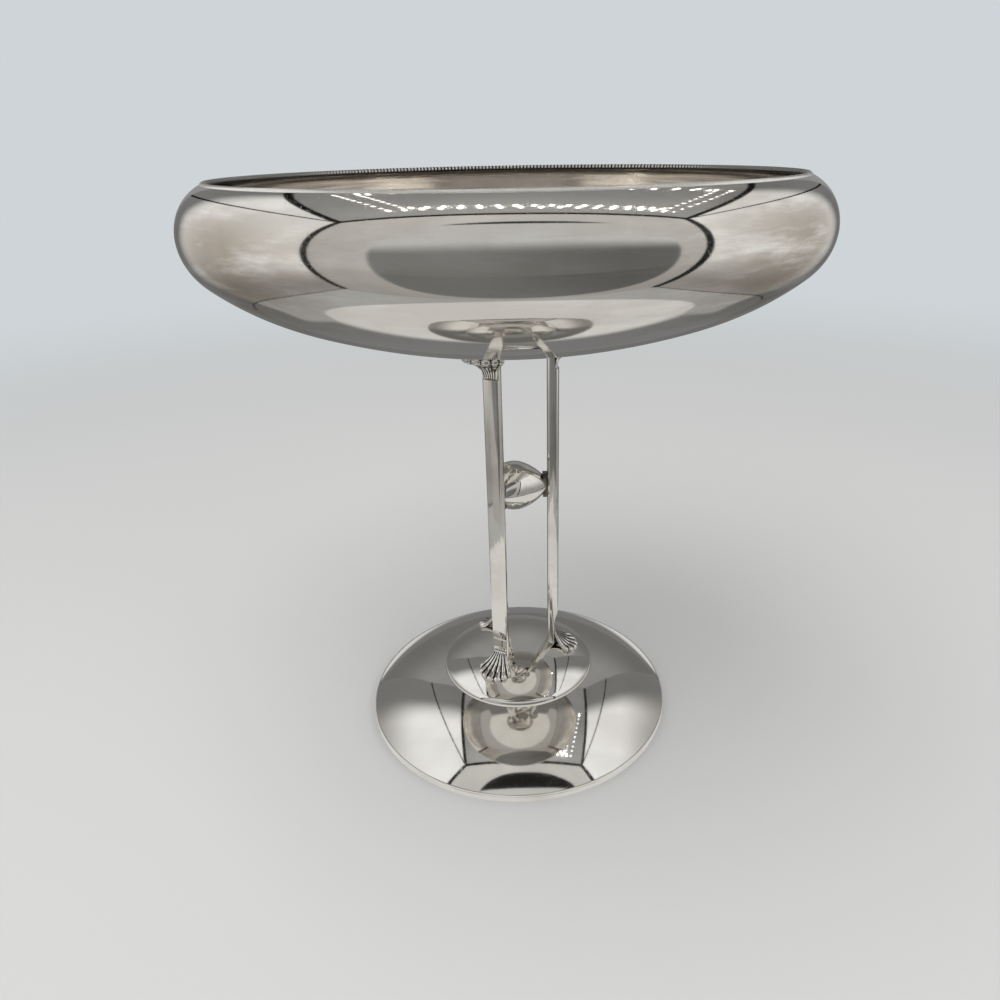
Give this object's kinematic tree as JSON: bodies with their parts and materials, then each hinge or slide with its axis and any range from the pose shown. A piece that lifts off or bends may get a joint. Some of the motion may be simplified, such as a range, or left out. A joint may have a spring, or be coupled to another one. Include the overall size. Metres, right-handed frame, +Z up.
{
  "type": "footed compote bowl",
  "caption": "Wide shallow metal bowl with an incurved shoulder, carried by slender legs with palmette feet and a pointed ball between them, on a domed round base.",
  "frame": {"origin": "centre of the base's underside, on the plane it rests on", "axes": "+Z up along the axis of bowl and base; +X towards the first leg, which stands 2 degrees from it; the picture's camera stands on the -Y side"},
  "size_m": [0.2432, 0.2432, 0.25],
  "materials": {
    "bowl_plate": "polished silver plate, slightly dulled inside",
    "rim_plate": "bright milled silver plate",
    "leg_plate": "polished silver plate",
    "palmette_plate": "polished cast silver plate with dark grooves",
    "ball_plate": "polished silver plate",
    "collar_plate": "oxidised silver plate",
    "base_plate": "polished silver plate with fine scratches",
    "ring_plate": "polished silver plate, worn at the edge",
    "washer_brass": "dull brass",
    "nut_brass": "dull brass"
  },
  "bodies": {
    "root": {"bowl_shell": "bowl_plate", "rim_wire": "rim_plate", "leg_1": "leg_plate", "leg_2": "leg_plate", "leg_3": "leg_plate", "palmette_foot_1": "palmette_plate", "palmette_foot_2": "palmette_plate", "palmette_foot_3": "palmette_plate", "palmette_capital_1": "palmette_plate", "palmette_capital_2": "palmette_plate", "palmette_capital_3": "palmette_plate", "ball_upper_half": "ball_plate", "ball_lower_half": "ball_plate", "ball_collar_1": "collar_plate", "ball_collar_2": "collar_plate", "ball_collar_3": "collar_plate", "base_shell": "base_plate", "base_edge_ring": "ring_plate", "saddle_washers": "washer_brass", "stud_nuts": "nut_brass"}
  },
  "joints": []
}
